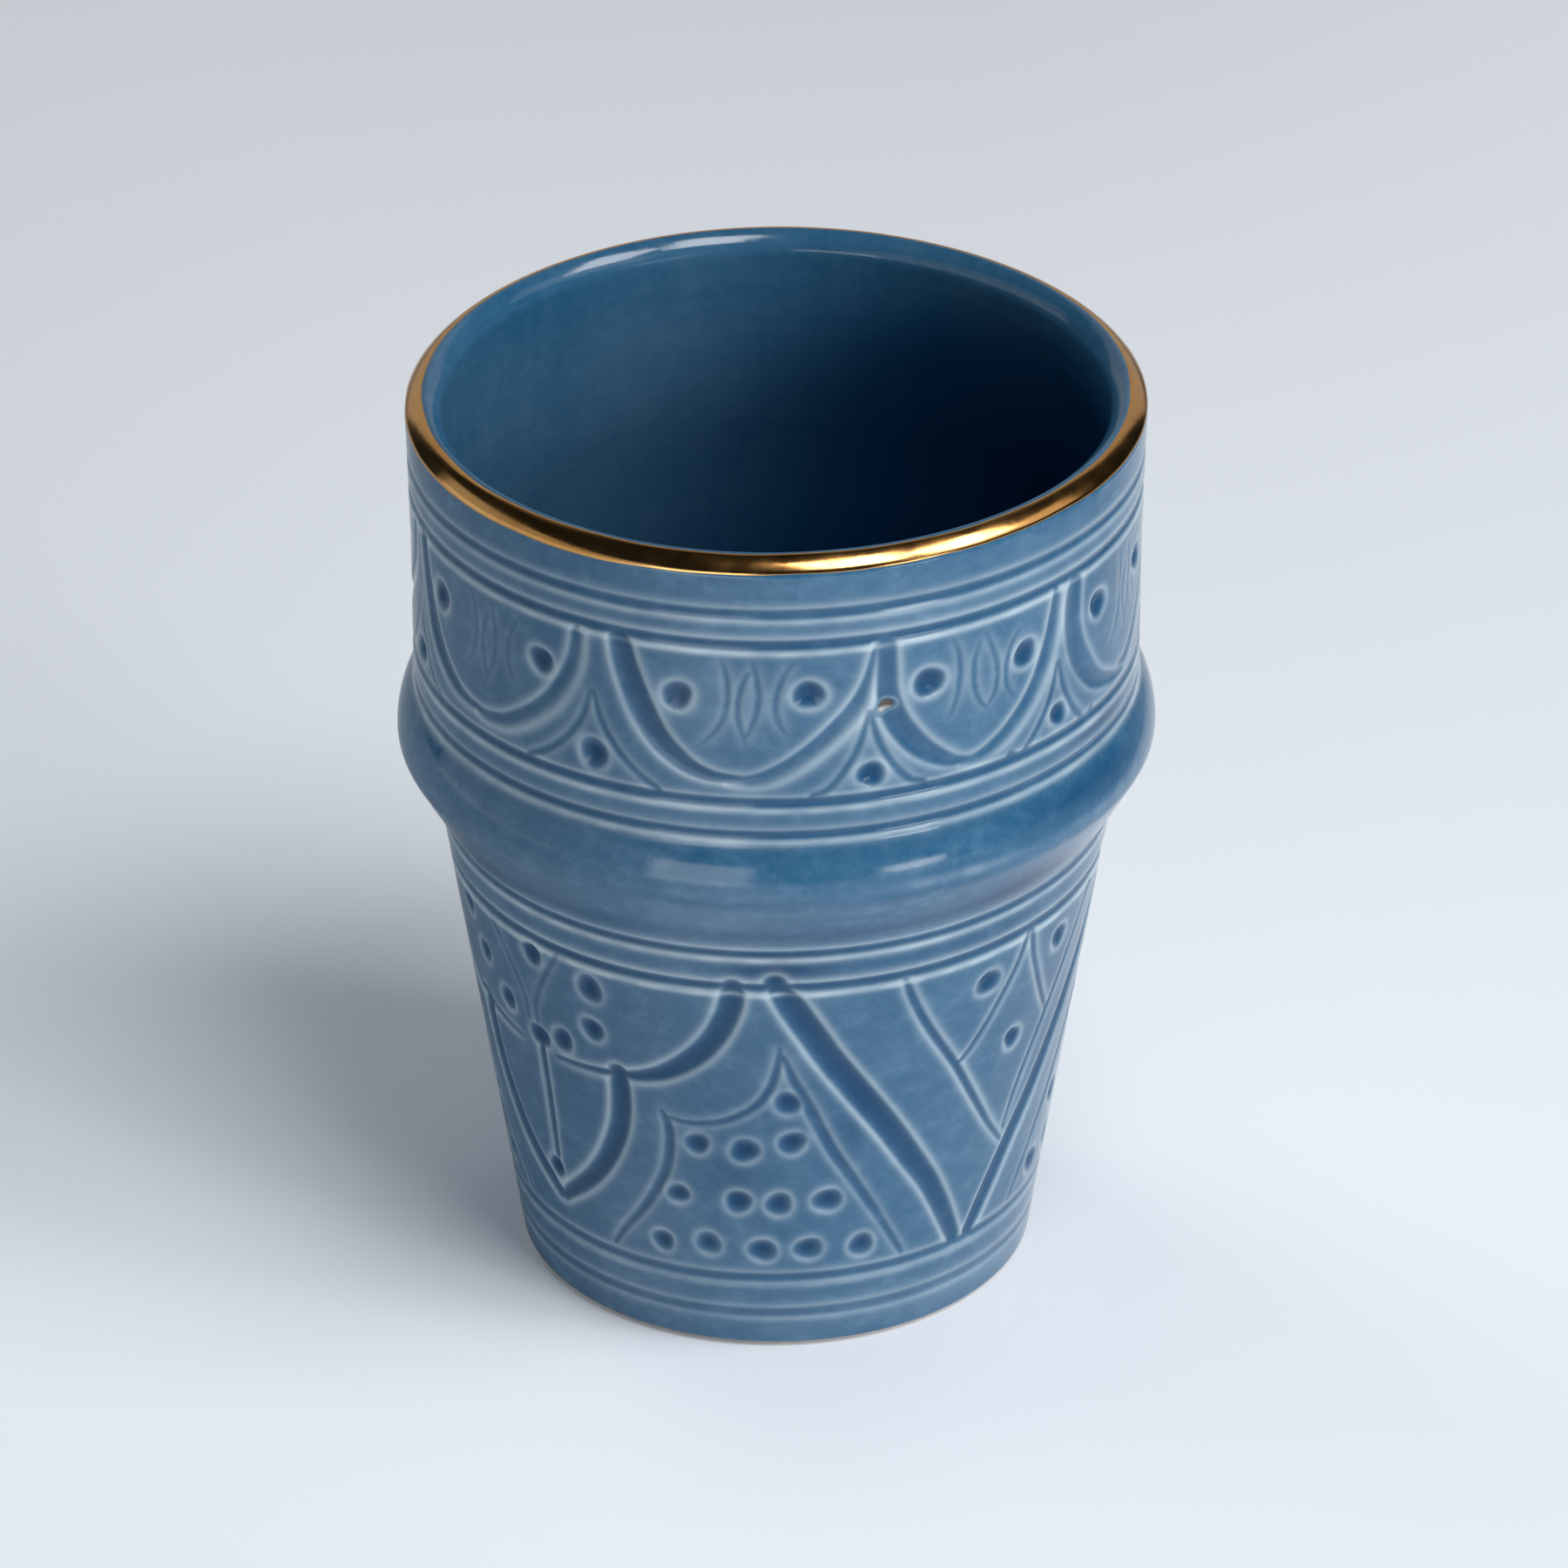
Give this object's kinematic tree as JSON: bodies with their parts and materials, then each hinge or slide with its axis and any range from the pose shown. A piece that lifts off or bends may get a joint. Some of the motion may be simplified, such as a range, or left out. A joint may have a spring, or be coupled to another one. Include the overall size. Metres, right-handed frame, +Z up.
{
  "type": "carved ceramic cup",
  "caption": "Handleless tapered ceramic cup with a rounded belt, turned lines, carved bands under blue glaze and a gold lip, for hot drinks or as a small holder.",
  "frame": {"origin": "middle of the foot, on the table", "axes": "+Z up along the cup's axis; the -Y side is the side in the picture"},
  "size_m": [0.0834, 0.0834, 0.105],
  "materials": {
    "fired_clay": "matte, unglazed at the foot",
    "blue_glaze": "gloss, darker where it pools in the carving",
    "gold_lustre": "polished, brushed on by hand"
  },
  "bodies": {
    "root": {"clay_body": "fired_clay", "glaze_coat": "blue_glaze", "gold_lip": "gold_lustre"}
  },
  "joints": []
}
